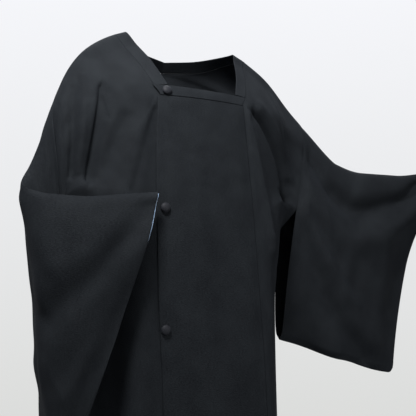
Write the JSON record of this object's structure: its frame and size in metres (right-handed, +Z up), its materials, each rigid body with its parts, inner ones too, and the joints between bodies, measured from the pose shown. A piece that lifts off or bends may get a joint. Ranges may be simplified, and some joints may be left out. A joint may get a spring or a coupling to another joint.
{
  "type": "michiyuki coat",
  "caption": "Knee-length kimono coat with a square neck opening, hanging sleeves, a buttoned overlapping front and open sides under the arms, in the shape it has when worn.",
  "frame": {"origin": "in the neck opening, midway between the two points where the neckband crosses the tops of the shoulders", "axes": "+Z up, -Y the way the coat faces, +X the wearer's left"},
  "size_m": [0.9332, 0.2873, 0.9092],
  "materials": {
    "coat_cloth": "matte charcoal-black crepe",
    "lining": "pale blue silk lining with a soft sheen",
    "covered_button": "charcoal crepe stretched over a domed button"
  },
  "bodies": {
    "root": {"body_right": "coat_cloth", "body_left": "coat_cloth", "sleeve_right": "coat_cloth", "sleeve_left": "coat_cloth", "front_panel_upper": "coat_cloth", "front_panel_lower": "coat_cloth", "neck_bar_upper": "coat_cloth", "neck_bar_lower": "coat_cloth", "neckband_right": "coat_cloth", "neckband_left": "coat_cloth", "neckband_back_right": "coat_cloth", "neckband_back_left": "coat_cloth", "cuff_lining_right": "lining", "cuff_lining_left": "lining", "button_top": "covered_button", "button_middle": "covered_button", "button_lower": "covered_button"}
  },
  "joints": []
}
